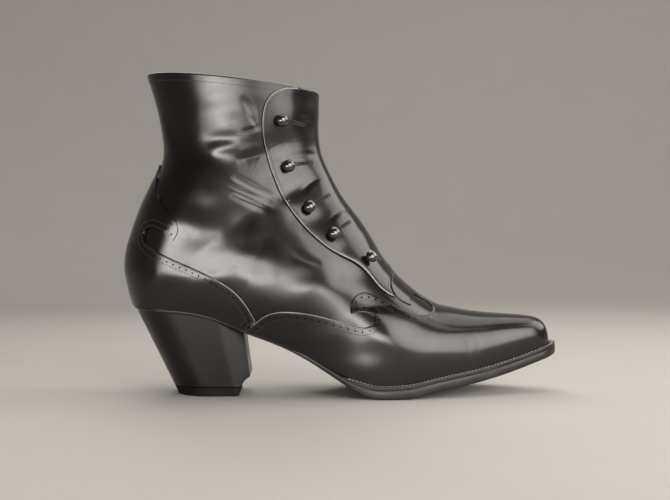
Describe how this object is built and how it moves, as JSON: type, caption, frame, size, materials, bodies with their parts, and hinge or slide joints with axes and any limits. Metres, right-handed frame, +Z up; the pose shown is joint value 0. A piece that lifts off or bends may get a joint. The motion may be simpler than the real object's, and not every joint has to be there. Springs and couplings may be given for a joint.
{
  "type": "button ankle boot",
  "caption": "Right ankle boot in glossy black leather with a pointed snip toe, scroll-edged vamp and heel counter, side button flap and a slanted stacked heel.",
  "frame": {"origin": "on the floor below the middle of the boot's bounding box", "axes": "+X to the toe, -Y to the outer side of the foot, +Z up"},
  "size_m": [0.2837, 0.0819, 0.2056],
  "materials": {
    "black_leather": "glossy smooth black calf",
    "sole_leather": "black-dyed sole leather, satin edge",
    "heel_leather": "black-dyed stacked leather, satin",
    "rubber": "matt black rubber",
    "lining_leather": "unpolished lining leather",
    "button_gloss": "glossy black"
  },
  "bodies": {
    "root": {"outsole": "sole_leather", "welt": "sole_leather", "insole": "lining_leather", "heel_block": "heel_leather", "heel_lift": "rubber", "upper": "black_leather", "vamp": "black_leather", "counter": "black_leather", "button_flap": "black_leather", "button_1": "button_gloss", "button_2": "button_gloss", "button_3": "button_gloss", "button_4": "button_gloss", "button_5": "button_gloss"}
  },
  "joints": []
}
